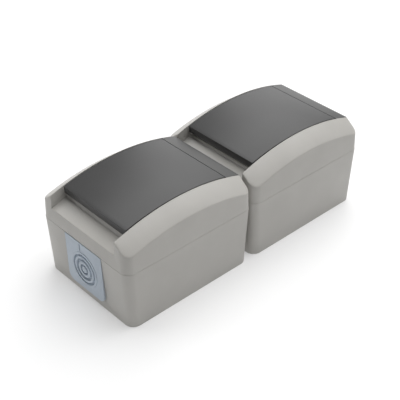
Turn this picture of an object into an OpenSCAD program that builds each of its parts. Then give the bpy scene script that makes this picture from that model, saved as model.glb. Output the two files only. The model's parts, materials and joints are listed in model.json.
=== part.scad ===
// Surface-mounted double earthed socket outlet with spring-closed, hinged lids.
// It lies on its back: the wall face is on z = 0 and +Z points out of the wall.
// Two equal modules follow each other along Y. Each is drawn about its own middle,
// with its low, finger-recess end towards -Y, and is then set in its place.

/* [Modules] */
// Distance between the middles of the two modules
pitch = 80; // [76:1:110]
// Gap between the two base boxes at the parting line
module_gap = 1; // [0.6:0.1:3]
// Width of a base box at the parting line
base_w = 65.8; // [62:0.2:90]
// Height of the parting line between base box and cover
base_h = 33; // [27.5:0.5:45]
// Height of the crown above the parting line
cover_rise = 21.7; // [20:0.1:30]
// Drop of the crown from the middle to the ends of a module
crown_drop = 6.6; // [5:0.1:7.4]
// Amount by which the base box stands proud of the cover
parting_step = 0.1; // [0.05:0.05:0.6]

/* [Shells] */
// Wall of the base box
base_wall = 2.4; // [2.2:0.1:3]
// Floor of the base box
floor_t = 2.6; // [2:0.1:4]
// Wall of the cover
cover_wall = 2.2; // [1.8:0.1:2.6]
// Thickness of the lower rim of the cover
rim_t = 3.4; // [3.2:0.1:4]
// Radius of the upright corners at the low end
front_corner_r = 5; // [4.5:0.1:7]
// Radius of the upright corners at the high end
rear_corner_r = 4; // [3.8:0.1:6]
// Draft of the base box sides, in degrees
base_side_draft = 0.9; // [0:0.1:2]
// Draft of the base box ends, in degrees
base_end_draft = 3; // [0:0.1:4]
// Draft of the cover sides, in degrees
cover_side_draft = 1.3; // [0:0.1:2]
// Draft of the cover ends, in degrees
cover_end_draft = 1.7; // [0:0.1:3]
// Slope of the bevel along the cheeks, in degrees
bevel_angle = 37.7; // [30:0.1:45]
// Flat on top of a cheek beside the lid
cheek_flat = 0.5; // [0.2:0.1:1.5]
// Thickness of the inner wall of a cheek
cheek_wall = 2; // [1.6:0.1:2.4]
// Width of the rubber seal between base box and cover
gasket_w = 1; // [0.8:0.1:1.2]
// Height of the rubber seal between base box and cover
gasket_h = 1.8; // [1.4:0.1:2.4]

/* [Lid] */
// Clear width between the cheeks
lid_bay_w = 47.8; // [47.4:0.2:52]
// Gap between the lid and each cheek
lid_side_gap = 0.45; // [0.2:0.05:0.6]
// Length of the finger recess in front of the lid
recess_l = 8; // [6:0.5:9]
// Distance from the high end of the module to the seam behind the lid
seam_back = 9.7; // [9:0.1:12]
// Gap at the seam between lid and hinge cap
seam_gap = 0.3; // [0.2:0.05:0.5]
// Thickness of the lid's skin
lid_t = 2.2; // [1.8:0.1:2.3]
// Depth of the lid's rim below its outside
lid_rim_h = 3.5; // [2.8:0.1:4]
// Thickness of the lid's rim
lid_rim_t = 1.6; // [1.2:0.1:2]
// Largest opening angle of the lid, in degrees
lid_open = 100; // [80:1:105]
// Depth of the hinge pin's axis below the outside of the lid
hinge_depth = 3.4; // [3.3:0.1:3.6]
// Diameter of the hinge pin
hinge_pin_d = 2; // [1.6:0.1:2.2]
// Radial running clearance of the lid on its pin
hinge_fit = 0.05; // [0.02:0.01:0.09]
// Radius of the lid's knuckles
knuckle_r = 2.2; // [2:0.1:2.3]
// Half of the gap between the knuckles, which holds the spring
spring_bay = 8.8; // [8.4:0.1:10]
// Diameter of the spring wire
spring_wire = 0.7; // [0.5:0.05:0.8]

/* [Socket] */
// Inside diameter of the plug well
well_d = 39.5; // [39:0.1:40.5]
// Depth of the plug well
well_depth = 17.5; // [17:0.1:18]
// Wall of the plug well
well_wall = 2.2; // [2:0.1:2.3]
// Floor of the plug well
well_floor_t = 2.5; // [2:0.1:3]
// Drop of the deck below the crown
deck_drop = 9.7; // [9:0.1:10.5]
// Thickness of the deck
deck_t = 2.2; // [1.8:0.1:2.6]
// Height of the plug well's collar above the deck
collar_h = 3.2; // [2.8:0.1:3.4]
// Distance between the two contact holes
contact_pitch = 19; // [18.5:0.1:19.5]
// Diameter of the contact holes in the well's floor
contact_hole_d = 5.4; // [5.2:0.1:5.8]
// Inside diameter of the contact sleeves
sleeve_bore_d = 4.85; // [4.8:0.01:4.95]
// Length of the contact sleeves
sleeve_l = 13; // [11:0.5:13.5]
// Height of the contact block
block_h = 18.2; // [17.5:0.1:20]
// Width of the contact block
block_w = 42; // [41.6:0.2:44]
// Length of the contact block
block_l = 34; // [33:0.5:36]

/* [Entries and coupling] */
// Width of the cable-entry plate
entry_w = 27.8; // [26:0.2:30]
// Height of the lower edge of the cable-entry plate
entry_bottom = 4.9; // [4:0.1:8]
// Amount by which the cable-entry plate stands proud of the end wall
entry_proud = 0.15; // [0.05:0.05:1]
// Angle by which the entry plate's face is steeper than the wall, degrees
entry_lean = 1.9; // [0:0.1:2.5]
// Height of the middle of the entry's rings
ring_h = 18; // [17:0.1:19]
// Outside radius of the entry's outer ring
ring_r = 9.5; // [8:0.1:10]
// Outside diameter of the coupling sleeve between the modules
coupling_d = 18; // [16:0.5:20]
// Wall of the coupling sleeve
coupling_wall = 1.8; // [1.5:0.1:2.2]
// Height of the coupling sleeve's axis
coupling_h = 17; // [16:0.5:19]

/* [Fastening] */
// Diameter of the wall-screw holes
wall_hole_d = 4.4; // [4:0.1:5]
// Distance across the module between the wall-screw holes
wall_hole_x = 23; // [20:0.5:23]
// Distance from the end of a base box to its wall-screw holes
wall_hole_end = 10.5; // [10:0.1:12]
// Distance across the module between the cover screws
cover_screw_x = 39; // [38:0.5:39.4]
// Distance from the low end of the module to the cover screws
cover_screw_end = 15; // [14.5:0.1:15.5]

/* [Hidden] */
$fn = 64;
far = 200;

// Colours
light_grey = [0.66, 0.65, 0.62];
dark_grey = [0.37, 0.37, 0.37];
mid_grey = [0.48, 0.47, 0.47];
entry_grey = [0.60, 0.64, 0.68];
black_rubber = [0.12, 0.12, 0.12];
steel = [0.72, 0.73, 0.75];
brass = [0.78, 0.66, 0.36];
block_white = [0.86, 0.86, 0.83];
line_brown = [0.45, 0.28, 0.18];
neutral_blue = [0.25, 0.42, 0.7];
earth_green = [0.45, 0.62, 0.2];

// Outer form
base_hl = (pitch - module_gap) / 2;
base_hw = base_w / 2;
cover_hl = base_hl - parting_step;
cover_hw = base_hw - parting_step;
crown_h = base_h + cover_rise;
crown_r = (base_hl * base_hl + crown_drop * crown_drop) / (2 * crown_drop);
crown_axis_z = crown_h - crown_r;
bevel_x = lid_bay_w / 2 + cheek_flat;
bevel_r = crown_r / cos(bevel_angle);

// Lid and hinge
lid_hw = lid_bay_w / 2 - lid_side_gap;
lid_front = -base_hl + recess_l;
seam_y = base_hl - seam_back;
seam_slope = asin(seam_y / crown_r);
seam_z = crown_z(seam_y);
hinge_back = hinge_depth * tan(lid_open / 2) + 0.1;
hinge_y = seam_y - hinge_back * cos(seam_slope) - hinge_depth * sin(seam_slope);
hinge_z = seam_z + hinge_back * sin(seam_slope) - hinge_depth * cos(seam_slope);
swing_r = sqrt(hinge_back * hinge_back + hinge_depth * hinge_depth);
hinge_r = hinge_pin_d / 2;
pin_end = 1.4;
spring_room_r = hinge_r + spring_wire + 0.4;
groove_depth = 1.6;
groove_fit = 0.02;
groove_mid_r = sqrt(hinge_y * hinge_y + (hinge_z - crown_axis_z) * (hinge_z - crown_axis_z));
cap_side_gap = 0.1;

// Deck, plug well and contacts
deck_h = crown_h - deck_drop;
recess_drop = 4.1;
recess_slope_l = 7.8;
recess_fillet = 1.8;
trough_z = hinge_z - swing_r - 0.5;
trough_y = hinge_y - swing_r - 0.3;
well_r = well_d / 2;
well_outer_r = well_r + well_wall;
collar_r = well_r + 2.5;
flange_r = collar_r + 1.15;
deck_hole_r = well_outer_r + 0.15;
well_seal_t = 0.6;
flange_t = 0.8;
collar_top = deck_h + collar_h;
well_floor = collar_top - well_depth;
well_bottom = well_floor - well_floor_t;
block_bottom = well_bottom - block_h;
contact_x = contact_pitch / 2;
sleeve_wall = 0.8;
sleeve_r = sleeve_bore_d / 2 + sleeve_wall;
sleeve_top = well_bottom - 0.6;
terminal_x = 18;
terminal_w = 6;
terminal_l = 16;
terminal_h = 9;
terminal_z = block_bottom + 3;
wire_z = terminal_z + 3.3;
wire_bore_r = 1.5;
screw_y = 4.6;
lock_y = 13;
lock_x = 10;
strap_w = 8;
strap_t = 0.7;
strap_y = well_outer_r - 1.1;
strap_z = well_bottom - 0.9;
earth_y = -24;
earth_z = strap_z - 6.3;
earth_w = 12;
earth_l = 6;
earth_h = 9.4;
rib_w = 4.4;
rib_depth = 1.6;

// Lid seal
seal_mid_r = well_r + 1.1;
seal_w = 1.6;
seal_gap = 0.1;
seal_h = 1.3;
carrier_w = 1.8;

// Fastening
post_r = 3.6;
screw_clear = 0.15;
cover_screw_r = 1.75;
cover_screw_l = 24;
cover_screw_y = -base_hl + cover_screw_end;
wall_hole_y = base_hl - wall_hole_end;
lock_screw_r = 1.5;
thread_fit = 0.02;

// Entries and coupling
entry_lip = 2;
entry_corner_r = 4;
entry_fit = 0.1;
entry_inner_t = 1.2;
membrane_t = 1.2;
pad_r = 13;
pad_t = base_wall + base_h * tan(base_end_draft) + 0.1;
coupling_r = coupling_d / 2;
coupling_fit = 0.1;
nut_r = 12.4;
nut_t = 4;
flange_extra = 2.6;
y_in = pitch / 2 - base_hl + pad_t;
link_x = 4;
link_r = 1.3;
core_r = 0.75;

// Height of the crown's surface at a distance y from the middle of a module
function crown_z(y) = crown_axis_z + sqrt(crown_r * crown_r - y * y);

// Half length and half width of the shells at a height z
function base_hl_at(z) = base_hl - (base_h - z) * tan(base_end_draft);
function base_hw_at(z) = base_hw - (base_h - z) * tan(base_side_draft);
function cover_hl_at(z) = cover_hl - (z - base_h) * tan(cover_end_draft);
function cover_hw_at(z) = cover_hw - (z - base_h) * tan(cover_side_draft);

// ---- helpers ----

// Round-cornered outline of the shells, reduced on all sides by inset
module outline(hw, hl, inset) {
    front_r = front_corner_r - inset;
    rear_r = rear_corner_r - inset;
    translate([inset - hw, inset - hl + front_r])
        square([2 * (hw - inset), 2 * (hl - inset) - front_r - rear_r]);
    translate([inset - hw + front_r, inset - hl]) square([2 * (hw - inset - front_r), 2 * front_r]);
    translate([inset - hw + rear_r, hl - inset - 2 * rear_r]) square([2 * (hw - inset - rear_r), 2 * rear_r]);
    for (s = [-1, 1]) {
        translate([s * (hw - inset - front_r), inset + front_r - hl]) circle(r = front_r);
        translate([s * (hw - inset - rear_r), hl - inset - rear_r]) circle(r = rear_r);
    }
}

// Four drafted faces, half_low wide at z_low and half_high wide at z_high, as a wedge along one axis
module wedge(half_low, half_high, z_low, z_high) {
    rotate([90, 0, 0])
        linear_extrude(height = far, center = true)
            polygon([[-half_low, z_low], [half_low, z_low], [half_high, z_high], [-half_high, z_high]]);
}

// Drafted block of the base box, reduced on all sides by inset
module base_block(inset, z_low, z_high) {
    intersection() {
        translate([0, 0, z_low]) linear_extrude(height = z_high - z_low) outline(base_hw, base_hl, inset);
        wedge(base_hw_at(z_low) - inset, base_hw_at(z_high) - inset, z_low, z_high);
        rotate([0, 0, 90]) wedge(base_hl_at(z_low) - inset, base_hl_at(z_high) - inset, z_low, z_high);
    }
}

// Drafted block of the cover, reduced on all sides by inset
module cover_block(inset, z_low, z_high) {
    intersection() {
        translate([0, 0, z_low]) linear_extrude(height = z_high - z_low) outline(cover_hw, cover_hl, inset);
        wedge(cover_hw_at(z_low) - inset, cover_hw_at(z_high) - inset, z_low, z_high);
        rotate([0, 0, 90]) wedge(cover_hl_at(z_low) - inset, cover_hl_at(z_high) - inset, z_low, z_high);
    }
}

// Crown over the full width: everything under the arched top, less depth
module under_crown(depth) {
    translate([0, 0, crown_axis_z])
        rotate([0, 90, 0])
            cylinder(r = crown_r - depth, h = far, center = true, $fn = 256);
}

// Everything under the bevel on one side, less depth
module under_bevel(side, depth) {
    translate([side * (bevel_x - bevel_r * sin(bevel_angle)), 0, crown_h - bevel_r * cos(bevel_angle)])
        rotate([0, 90 + side * bevel_angle, 0])
            cylinder(r = bevel_r - depth, h = 2 * far, center = true, $fn = 256);
}

// What lies under the crown and under both bevels
module crowned(depth) {
    intersection() {
        under_crown(depth);
        under_bevel(1, depth);
        under_bevel(-1, depth);
        children();
    }
}

// Ring between two radii
module ring(r_out, r_in, h) {
    difference() {
        cylinder(r = r_out, h = h);
        translate([0, 0, -1]) cylinder(r = r_in, h = h + 2);
    }
}

// Cylinder along X from x_low to x_high
module bar_x(x_low, x_high, r, y, z) {
    translate([x_low, y, z]) rotate([0, 90, 0]) cylinder(r = r, h = x_high - x_low);
}

// Cylinder along Y from y_low to y_high
module bar_y(y_low, y_high, r, x, z) {
    translate([x, y_high, z]) rotate([90, 0, 0]) cylinder(r = r, h = y_high - y_low);
}

// Box from a low corner to a high corner
module span(low, high) {
    translate(low) cube(high - low);
}

// Profile drawn in Y and Z, stretched over a width along X
module across(width) {
    translate([-width / 2, 0, 0])
        rotate([90, 0, 90])
            linear_extrude(height = width) children();
}

// Slotted screw, its head resting on z = 0 and its shank below
module screw(shank_r, shank_l, head_r, head_h) {
    difference() {
        union() {
            cylinder(r = head_r, h = head_h);
            translate([0, 0, -shank_l]) cylinder(r = shank_r, h = shank_l);
        }
        translate([-head_r, -0.4, head_h - 0.7]) cube([2 * head_r, 0.8, 1]);
    }
}

// Frame of the drafted end wall: z = 0 at the parting line, -y out of the wall
module on_end_wall() {
    translate([0, -base_hl, base_h]) rotate([base_end_draft, 0, 0]) children();
}

// Outline of an entry plate in the end wall's frame, as wide as half_w, y_low to y_high
module entry_slab(half_w, bottom, corner, y_low, y_high) {
    translate([0, y_high, 0])
        rotate([90, 0, 0])
            linear_extrude(height = y_high - y_low) {
                translate([-half_w, bottom + corner]) square([2 * half_w, 2 - bottom - corner]);
                translate([-half_w + corner, bottom]) square([2 * (half_w - corner), corner + 1]);
                for (s = [-1, 1]) translate([s * (half_w - corner), bottom + corner]) circle(r = corner);
            }
}

// ---- base ----

module base_box(entry_side) {
    color(light_grey)
        difference() {
            union() {
                difference() {
                    base_block(0, 0, base_h);
                    intersection() {
                        base_block(base_wall, 0, base_h + 1);
                        span([-far, -far, floor_t], [far, far, far]);
                    }
                }
                coupling_pad(-entry_side);
                base_posts();
            }
            scale([1, -entry_side, 1]) entry_cut();
            bar_y(entry_side > 0 ? -far : 0, entry_side > 0 ? 0 : far,
                  coupling_r + coupling_fit, 0, coupling_h);
            for (sx = [-1, 1], sy = [-1, 1])
                translate([sx * wall_hole_x / 2, sy * wall_hole_y, -1])
                    cylinder(r = wall_hole_d / 2, h = floor_t + 2);
            for (s = [-1, 1]) {
                translate([s * cover_screw_x / 2, cover_screw_y, base_h - cover_screw_l])
                    cylinder(r = cover_screw_r + thread_fit, h = cover_screw_l + 1);
                translate([s * lock_x, s * lock_y, floor_t])
                    cylinder(r = lock_screw_r + thread_fit, h = block_bottom);
            }
        }
}

// Upright flat around the coupling hole, on the end towards side
module coupling_pad(side) {
    translate([0, side * (base_hl - pad_t / 2), coupling_h])
        rotate([90, 0, 0])
            cylinder(r = pad_r, h = pad_t, center = true);
}

module base_posts() {
    for (s = [-1, 1]) {
        translate([s * cover_screw_x / 2, cover_screw_y, floor_t / 2])
            cylinder(r = post_r, h = base_h - floor_t / 2);
        translate([s * lock_x, s * lock_y, floor_t / 2])
            cylinder(r = post_r, h = block_bottom - floor_t / 2);
    }
}

// U-shaped opening in the end wall that the entry plate slides into
module entry_cut() {
    on_end_wall()
        entry_slab(entry_w / 2 - entry_lip, entry_bottom - base_h + entry_lip,
                   entry_corner_r - entry_lip, -2, base_wall + 1);
}

module base_gasket() {
    color(black_rubber)
        translate([0, 0, base_h])
            difference() {
                rim_block(rim_t / 2 - gasket_w / 2, 0, gasket_h);
                rim_block(rim_t / 2 + gasket_w / 2, -1, gasket_h + 1);
            }
}

// Upright block that follows the cover's lower rim, reduced by inset
module rim_block(inset, z_low, z_high) {
    translate([0, 0, z_low]) linear_extrude(height = z_high - z_low) outline(cover_hw, cover_hl, inset);
}

// ---- cover ----

// Top of the deck from the low end to the high end, moved down by drop and forward by lead
function deck_line(drop, lead) = [
    [-base_hl - 5, deck_h - recess_drop - drop - 5 * recess_drop / recess_slope_l * 0.6],
    [-base_hl + recess_slope_l, deck_h - recess_fillet - drop],
    for (a = [0:15:60])
        [-base_hl + recess_slope_l + recess_fillet * sin(a), deck_h - recess_fillet * cos(a) - drop],
    [-base_hl + recess_slope_l + recess_fillet, deck_h - drop],
    [trough_y - lead, deck_h - drop],
    [trough_y - lead, trough_z - drop],
    [base_hl + 5, trough_z - drop]
];

module above_deck(width, drop, lead) {
    across(width) polygon(concat(deck_line(drop, lead), [[base_hl + 5, far], [-base_hl - 5, far]]));
}

module cover() {
    color(light_grey)
        difference() {
            union() {
                difference() {
                    crowned(0) cover_block(0, base_h, crown_h + 1);
                    cover_void();
                }
                cover_bosses();
                well_land();
            }
            above_deck_bay();
            translate([0, 0, base_h - 1]) cylinder(r = deck_hole_r, h = far);
            for (s = [-1, 1])
                translate([s * cover_screw_x / 2, cover_screw_y, base_h - 1])
                    cylinder(r = cover_screw_r + screw_clear, h = far);
            pin_groove();
            translate([0, 0, base_h])
                difference() {
                    rim_block(rim_t / 2 - gasket_w / 2, -1, gasket_h);
                    rim_block(rim_t / 2 + gasket_w / 2, -2, gasket_h + 1);
                }
        }
}

// Hollow inside of the cover, below the deck and inside the cheeks
module cover_void() {
    difference() {
        crowned(cover_wall) cover_block(cover_wall, base_h - 1, crown_h);
        above_deck(lid_bay_w + 2 * cheek_wall, deck_t, deck_t);
        difference() {
            span([-far, -far, base_h - 2], [far, far, base_h + gasket_h + 1.4]);
            rim_block(rim_t, base_h - 3, base_h + gasket_h + 2.4);
        }
    }
}

// Bay between the cheeks that holds the lid and the hinge cap
module above_deck_bay() {
    difference() {
        above_deck(lid_bay_w, 0, 0);
        well_land();
    }
}

// Round land that carries the plug well's flange across the hinge trough
module well_land() {
    intersection() {
        translate([0, 0, trough_z - 1]) cylinder(r = flange_r + 0.3, h = deck_h - trough_z + 1);
        span([-far, 0, 0], [far, far, far]);
    }
}

module cover_bosses() {
    for (s = [-1, 1])
        translate([s * cover_screw_x / 2, cover_screw_y, base_h])
            cylinder(r = post_r, h = deck_h - base_h - deck_t / 2);
}

// Grooves in the cheeks that the hinge pin slides along from the high end
module pin_groove() {
    width = lid_bay_w + 2 * groove_depth;
    bar_x(-width / 2, width / 2, hinge_r + groove_fit, hinge_y, hinge_z);
    pin_track(width, hinge_r + groove_fit, 0, far);
}

// Arched bar behind the hinge pin, as wide as width
module pin_track(width, half_h, ahead, y_high) {
    intersection() {
        translate([0, 0, crown_axis_z])
            rotate([0, 90, 0])
                difference() {
                    cylinder(r = groove_mid_r + half_h, h = width, center = true, $fn = 256);
                    cylinder(r = groove_mid_r - half_h, h = width + 2, center = true, $fn = 256);
                }
        span([-far, hinge_y + ahead, 0], [far, y_high, far]);
    }
}

module cover_screws() {
    color(steel)
        for (s = [-1, 1])
            translate([s * cover_screw_x / 2, cover_screw_y, deck_h])
                screw(cover_screw_r, cover_screw_l - 0.5, 3.1, 1.6);
}

// ---- lid ----

module lid() {
    color(dark_grey)
        difference() {
            union() {
                lid_shell();
                for (s = [-1, 1])
                    bar_x(s > 0 ? spring_bay : -lid_hw, s > 0 ? lid_hw : -spring_bay,
                          knuckle_r, hinge_y, hinge_z);
                seal_carrier();
            }
            bar_x(-far, far, hinge_r + hinge_fit, hinge_y, hinge_z);
            bar_x(-spring_bay, spring_bay, spring_room_r, hinge_y, hinge_z);
        }
}

// Arched skin with a rim along its sides and its front
module lid_shell() {
    difference() {
        intersection() {
            under_crown(0);
            span([-lid_hw, lid_front, 0], [lid_hw, seam_y, far]);
        }
        under_crown(lid_rim_h);
        intersection() {
            under_crown(lid_t);
            span([-lid_hw + lid_rim_t, lid_front + lid_rim_t, 0], [lid_hw - lid_rim_t, far, far]);
        }
    }
}

// Round wall under the lid that carries the seal
module seal_carrier() {
    intersection() {
        under_crown(lid_t / 2);
        translate([0, 0, collar_top + seal_gap + seal_h])
            ring(seal_mid_r + carrier_w / 2, seal_mid_r - carrier_w / 2, far);
    }
}

module lid_seal() {
    color(black_rubber)
        translate([0, 0, collar_top + seal_gap])
            ring(seal_mid_r + seal_w / 2, seal_mid_r - seal_w / 2, seal_h);
}

module hinge_pin() {
    color(steel)
        bar_x(-lid_bay_w / 2 - pin_end, lid_bay_w / 2 + pin_end, hinge_r, hinge_y, hinge_z);
}

// Torsion spring: close turns round the pin, a foot on the deck and an arm under the lid
module lid_spring() {
    turn_r = hinge_r + 0.25 + spring_wire / 2;
    turn_pitch = spring_wire * 0.94;
    turns = floor((2 * spring_bay - 1.4) / turn_pitch);
    coil_l = (turns - 1) * turn_pitch;
    arm_lift = 0.5;
    arm_start = sqrt(turn_r * turn_r - arm_lift * arm_lift);
    color(steel) {
        translate([-coil_l / 2, hinge_y, hinge_z])
            rotate([0, 90, 0])
                rotate_extrude()
                    for (i = [0:turns - 1])
                        translate([turn_r, i * turn_pitch]) circle(d = spring_wire, $fn = 24);
        translate([coil_l / 2, hinge_y - turn_r, trough_z])
            cylinder(d = spring_wire, h = hinge_z - trough_z, $fn = 24);
        translate([-coil_l / 2, hinge_y, hinge_z])
            rotate([-seam_slope, 0, 0])
                translate([0, -arm_start, arm_lift])
                    rotate([90, 0, 0])
                        cylinder(d = spring_wire, h = 2.2, $fn = 24);
    }
}

// Fixed strip behind the lid: closes the pin grooves and finishes the crown
module hinge_cap() {
    cap_hw = lid_bay_w / 2 - cap_side_gap;
    cap_front = hinge_y + swing_r - 0.4;
    color(mid_grey)
        difference() {
            union() {
                crowned(0)
                    intersection() {
                        cover_block(0, base_h, crown_h + 1);
                        span([-cap_hw, cap_front, trough_z], [cap_hw, far, far]);
                    }
                intersection() {
                    pin_track(lid_bay_w + 2 * (groove_depth - 0.15), hinge_r - 0.1, hinge_r + 0.3, far);
                    cover_block(0.2, base_h, crown_h + 1);
                    difference() {
                        span([-far, 0, 0], [far, far, far]);
                        span([-lid_bay_w / 2, 0, 0], [lid_bay_w / 2, cap_front, far]);
                    }
                }
            }
            bar_x(-lid_bay_w / 2, lid_bay_w / 2, swing_r + seam_gap - 0.05, hinge_y, hinge_z);
            intersection() {
                crowned(2) cover_block(2, base_h, crown_h);
                span([-cap_hw + 2, cap_front + 3.2, trough_z - 1], [cap_hw - 2, far, far]);
            }
        }
}

// ---- plug well and contacts ----

module socket_well() {
    color(light_grey)
        difference() {
            union() {
                translate([0, 0, well_bottom])
                    cylinder(r = well_outer_r, h = deck_h + well_seal_t - well_bottom + 0.1);
                translate([0, 0, deck_h + well_seal_t]) cylinder(r = flange_r, h = flange_t);
                translate([0, 0, deck_h + well_seal_t]) cylinder(r = collar_r, h = collar_h - well_seal_t);
            }
            difference() {
                translate([0, 0, well_floor]) cylinder(r = well_r, h = far);
                for (s = [-1, 1])
                    span([s > 0 ? well_r - rib_depth : -far, -rib_w / 2, 0],
                         [s > 0 ? far : rib_depth - well_r, rib_w / 2, collar_top - 2]);
            }
            for (s = [-1, 1]) {
                translate([s * contact_x, 0, 0]) cylinder(r = contact_hole_d / 2, h = far);
                earth_window(s);
            }
            cylinder(r = lock_screw_r + screw_clear, h = far);
        }
}

// Opening in the well's wall for one arm of the earth strap
module earth_window(side) {
    y_low = well_r - 1;
    y_high = well_outer_r + 1;
    span([-strap_w / 2 - 0.3, side > 0 ? y_low : -y_high, 0],
         [strap_w / 2 + 0.3, side > 0 ? y_high : -y_low, deck_h - 0.6]);
}

module well_seal() {
    color(black_rubber)
        translate([0, 0, deck_h])
            ring(flange_r, deck_hole_r + 0.05, well_seal_t);
}

module well_screw() {
    color(steel)
        translate([0, 0, well_floor]) screw(lock_screw_r, well_floor_t + 11, 2.9, 1.5);
}

module contact_block() {
    color(block_white)
        difference() {
            span([-block_w / 2, -block_l / 2, block_bottom], [block_w / 2, block_l / 2, well_bottom]);
            for (s = [-1, 1]) {
                contact_pocket(s);
                translate([s * lock_x, s * lock_y, 0]) cylinder(r = lock_screw_r + screw_clear, h = far);
                translate([s * lock_x, s * lock_y, well_bottom - 2.6]) cylinder(r = 3.1, h = far);
            }
            span([-strap_w / 2 - 0.2, -far, strap_z - 0.1], [strap_w / 2 + 0.2, far, far]);
            translate([0, 0, well_bottom - 13]) cylinder(r = lock_screw_r + thread_fit, h = far);
        }
}

// Pocket for one contact: round for the sleeve, square for the terminal, open outwards
module contact_pocket(s) {
    gap = 0.2;
    x_in = terminal_x - terminal_w / 2 - gap;
    translate([s * contact_x, 0, sleeve_top - sleeve_l - gap]) cylinder(r = sleeve_r + gap, h = far);
    span([s > 0 ? contact_x : -x_in - 1, -2.2, sleeve_top - sleeve_l - gap],
         [s > 0 ? x_in + 1 : -contact_x, 2.2, far]);
    span([s > 0 ? x_in : -far, -terminal_l / 2 - gap, terminal_z - gap],
         [s > 0 ? far : -x_in, terminal_l / 2 + gap, far]);
    bar_y(-far, far, wire_bore_r + 0.5, s * terminal_x, wire_z);
}

module block_screws() {
    color(steel)
        for (s = [-1, 1])
            translate([s * lock_x, s * lock_y, well_bottom - 2.6])
                screw(lock_screw_r, well_bottom - 2.6 - floor_t - 1, 2.8, 2.2);
}

// Contact sleeve with a slit, a link strip and a two-screw terminal
module contact(s) {
    color(brass)
        difference() {
            union() {
                translate([s * contact_x, 0, sleeve_top - sleeve_l]) cylinder(r = sleeve_r, h = sleeve_l);
                span([s > 0 ? contact_x : -terminal_x, -2, sleeve_top - sleeve_l],
                     [s > 0 ? terminal_x : -contact_x, 2, sleeve_top - sleeve_l + 1]);
                span([s * terminal_x - terminal_w / 2, -terminal_l / 2, terminal_z],
                     [s * terminal_x + terminal_w / 2, terminal_l / 2, terminal_z + terminal_h]);
            }
            translate([s * contact_x, 0, sleeve_top - sleeve_l + 1]) cylinder(r = sleeve_bore_d / 2, h = far);
            translate([s * contact_x - 0.4, 0, sleeve_top - sleeve_l + 2])
                cube([0.8, sleeve_r + 1, sleeve_l]);
            bar_y(-far, far, wire_bore_r, s * terminal_x, wire_z);
            for (sy = [-1, 1])
                translate([s * terminal_x, sy * screw_y, wire_z])
                    cylinder(r = lock_screw_r + thread_fit, h = far);
        }
}

// Sprung earth clips, their cross strip and the earth terminal
module earth_strap() {
    color(brass)
        difference() {
            union() {
                span([-strap_w / 2, earth_y - earth_l / 2, strap_z],
                     [strap_w / 2, strap_y, strap_z + strap_t]);
                for (s = [-1, 1]) scale([1, s, 1]) across(strap_w) polygon(clip_line(strap_t));
                span([-earth_w / 2, earth_y - earth_l / 2, strap_z - earth_h + strap_t],
                     [earth_w / 2, earth_y + earth_l / 2, strap_z + strap_t]);
            }
            cylinder(r = lock_screw_r + 0.4, h = far);
            bar_x(-far, far, wire_bore_r, earth_y, earth_z);
            translate([0, earth_y, earth_z]) cylinder(r = lock_screw_r + thread_fit, h = far);
        }
}

// Outline of one earth clip, from the cross strip up to its tip
function clip_line(t) = [
    [strap_y, strap_z], [strap_y, well_floor + 5],
    [well_r - 1.6, deck_h - 5], [well_r - 0.1, deck_h - 1],
    [well_r - 0.1 - t, deck_h - 1], [well_r - 1.6 - t, deck_h - 5],
    [strap_y - t, well_floor + 5], [strap_y - t, strap_z]
];

module terminal_screws() {
    color(steel) {
        for (s = [-1, 1], sy = [-1, 1])
            translate([s * terminal_x, sy * screw_y, terminal_z + terminal_h + 0.4])
                screw(lock_screw_r, 5, 2.5, 1.6);
        translate([0, earth_y, strap_z + strap_t + 0.4]) screw(lock_screw_r, 5, 2.5, 1.6);
    }
}

// ---- entries and coupling ----

// Rubber plate that slides into the end wall; ringed leaves out the rings on a blank
module entry_plate(ringed) {
    half_w = entry_w / 2;
    bottom = entry_bottom - base_h;
    mid_z = ring_h - base_h;
    color(entry_grey)
        intersection() {
            on_end_wall()
                difference() {
                    union() {
                        intersection() {
                            entry_slab(half_w, bottom, entry_corner_r,
                                       -entry_proud - 3, base_wall + entry_fit + entry_inner_t);
                            on_plate_face() span([-far, 0, -far], [far, far, far]);
                        }
                        if (ringed) on_plate_face() translate([0, 0, mid_z]) rotate([90, 0, 0]) entry_rings();
                    }
                    difference() {
                        entry_slab(half_w + 1, bottom - 1, entry_corner_r + 1, 0, base_wall + entry_fit);
                        entry_slab(half_w - entry_lip - entry_fit, bottom + entry_lip + entry_fit,
                                   entry_corner_r - entry_lip, -1, base_wall + 1);
                    }
                    translate([0, membrane_t - entry_proud, mid_z])
                        rotate([-90, 0, 0])
                            cylinder(r = ring_r, h = far);
                }
            span([-far, -far, 0], [far, far, base_h]);
        }
}

// Frame of the entry plate's face, inside the end wall's frame
module on_plate_face() {
    translate([0, -entry_proud, 0]) rotate([-entry_lean, 0, 0]) children();
}

// Stepped rings that are cut away to suit the cable
module entry_rings() {
    for (step = [0:2]) {
        r = ring_r - step * 2.6;
        translate([0, 0, -0.2]) ring(r, r - 1.1, 0.55);
    }
    translate([0, 0, -0.2]) cylinder(r = 2, h = 0.55);
}

module coupling_sleeve() {
    color(light_grey)
        difference() {
            union() {
                bar_y(-y_in - 2, y_in + nut_t + 1, coupling_r, 0, coupling_h);
                bar_y(-y_in - 2, -y_in, coupling_r + flange_extra, 0, coupling_h);
            }
            bar_y(-far, far, coupling_r - coupling_wall, 0, coupling_h);
        }
}

module coupling_nut() {
    color(light_grey)
        difference() {
            translate([0, y_in + nut_t, coupling_h])
                rotate([90, 0, 0])
                    cylinder(r = nut_r, h = nut_t, $fn = 6);
            bar_y(-far, far, coupling_r + thread_fit, 0, coupling_h);
        }
}

module coupling_seal() {
    color(black_rubber)
        difference() {
            bar_y(-module_gap / 2, module_gap / 2, pad_r - 0.5, 0, coupling_h);
            bar_y(-far, far, coupling_r + coupling_fit, 0, coupling_h);
        }
}

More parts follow.
